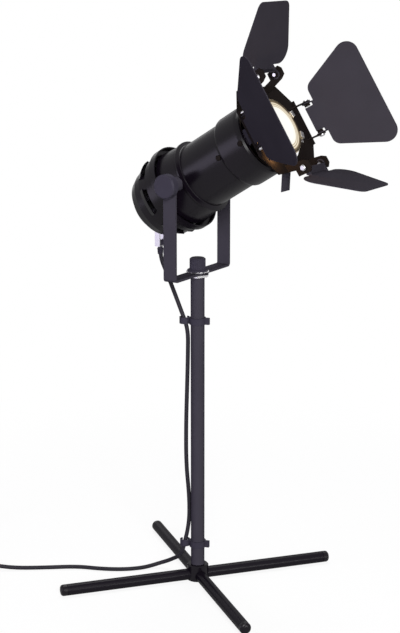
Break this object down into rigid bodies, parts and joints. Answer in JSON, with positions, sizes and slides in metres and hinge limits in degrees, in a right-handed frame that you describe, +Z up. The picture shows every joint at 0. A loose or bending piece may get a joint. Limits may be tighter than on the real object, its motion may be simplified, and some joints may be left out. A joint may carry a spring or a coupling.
{
  "type": "tabletop searchlight lamp",
  "caption": "Small black searchlight lamp on a four-legged post: a panning U yoke carries a tilting louvred head with hinged barn doors, with a lead clipped to the post.",
  "frame": {"origin": "on the post's axis, in the plane that the legs rest on", "axes": "+Z up along the post, +X the way the lamp head faces, +Y along the tilt axis to the head's left"},
  "size_m": [0.4618, 0.2344, 0.5059],
  "materials": {
    "frame_paint": "satin black",
    "zinc": "zinc plated",
    "dark_steel": "black",
    "finial": "ribbed",
    "black_plastic": "matte",
    "cord_sheath": "satin",
    "fitting_plastic": "satin",
    "pin_brass": "plated",
    "ceramic": "glazed",
    "lamp_reflector": "facetted reflector",
    "lamp_glass": "lit"
  },
  "bodies": {
    "base": {"base_hub": "frame_paint", "leg_left_front": "frame_paint", "leg_left_rear": "frame_paint", "leg_right_rear": "frame_paint", "leg_right_front": "frame_paint", "leg_end_caps": "black_plastic", "pole_tube": "frame_paint", "pole_inserts": "zinc", "pole_foot_screw": "zinc", "pole_top_stud": "zinc", "pole_spacer_ring": "zinc", "yoke_jam_nut": "dark_steel", "cord_clip_lower": "black_plastic", "cord_clip_upper": "black_plastic", "cord_drop_lead": "cord_sheath", "cord_pole_run": "cord_sheath", "cord_floor_run": "cord_sheath", "switch_body": "fitting_plastic", "cord_switch_lead": "cord_sheath", "cord_coil": "cord_sheath", "cord_plug_lead": "cord_sheath", "plug_body": "fitting_plastic", "plug_pins": "pin_brass"},
    "yoke": {"yoke_bracket": "frame_paint", "yoke_star_washer": "zinc", "cord_head_lead": "cord_sheath"},
    "finial_nut": {"yoke_finial_nut": "finial"},
    "head": {"tilt_bosses": "frame_paint", "tilt_studs": "zinc", "tilt_knob_washers": "zinc", "lamp_can": "frame_paint", "front_collar": "frame_paint", "can_screws": "zinc", "can_bulkhead": "frame_paint", "rear_housing": "frame_paint", "housing_posts": "zinc", "lamp_reflector": "lamp_reflector", "lamp_front_glass": "lamp_glass", "lamp_pins": "pin_brass", "lamp_holder": "ceramic", "holder_bracket": "zinc", "barn_frame": "frame_paint", "frame_strap_left": "zinc", "frame_strap_right": "zinc", "spring_latch": "zinc", "hinge_screws": "zinc", "hinge_nuts": "zinc", "cord_strap": "dark_steel", "cord_bush": "black_plastic"},
    "knob_left": {"tilt_knob_left": "black_plastic"},
    "knob_right": {"tilt_knob_right": "black_plastic"},
    "leaf_left": {"leaf_left": "frame_paint"},
    "leaf_right": {"leaf_right": "frame_paint"},
    "leaf_top": {"leaf_top": "frame_paint"},
    "leaf_bottom": {"leaf_bottom": "frame_paint"},
    "rocker": {"switch_rocker": "fitting_plastic"}
  },
  "joints": [
    {"name": "yoke_pan", "type": "hinge", "parent": "base", "child": "yoke", "pos_m": [0, 0, 0.2768], "axis": [0, 0, 1], "range_deg": [-170, 170], "deforming": ["cord_drop_lead"]},
    {"name": "finial_turn", "type": "hinge", "parent": "base", "child": "finial_nut", "pos_m": [0, 0, 0.2796], "axis": [0, 0, 1], "range_deg": [0, 180]},
    {"name": "head_tilt", "type": "hinge", "parent": "yoke", "child": "head", "pos_m": [0, 0, 0.358], "axis": [0, -1, 0], "range_deg": [-66.8, 16.2], "deforming": ["cord_head_lead"]},
    {"name": "knob_left_turn", "type": "hinge", "parent": "head", "child": "knob_left", "pos_m": [0, 0.0475, 0.358], "axis": [0, 1, 0], "range_deg": [0, 180]},
    {"name": "knob_right_turn", "type": "hinge", "parent": "head", "child": "knob_right", "pos_m": [0, -0.0475, 0.358], "axis": [0, -1, 0], "range_deg": [0, 180]},
    {"name": "leaf_left_hinge", "type": "hinge", "parent": "head", "child": "leaf_left", "pos_m": [0.08269, 0.0496, 0.40927], "axis": [-0.527, 0, 0.8499], "range_deg": [-68, 62]},
    {"name": "leaf_right_hinge", "type": "hinge", "parent": "head", "child": "leaf_right", "pos_m": [0.08269, -0.0496, 0.40927], "axis": [0.527, 0, -0.8499], "range_deg": [-77, 53]},
    {"name": "leaf_top_hinge", "type": "hinge", "parent": "head", "child": "leaf_top", "pos_m": [0.06614, 0, 0.44678], "axis": [0, -1, 0], "range_deg": [-27, 43]},
    {"name": "leaf_bottom_hinge", "type": "hinge", "parent": "head", "child": "leaf_bottom", "pos_m": [0.10893, 0, 0.37777], "axis": [0, 1, 0], "range_deg": [-20, 50]},
    {"name": "rocker_press", "type": "hinge", "parent": "base", "child": "rocker", "pos_m": [-0.20537, -0.11133, 0.014], "axis": [0.5392, -0.8422, 0], "range_deg": [-12, 0]}
  ]
}
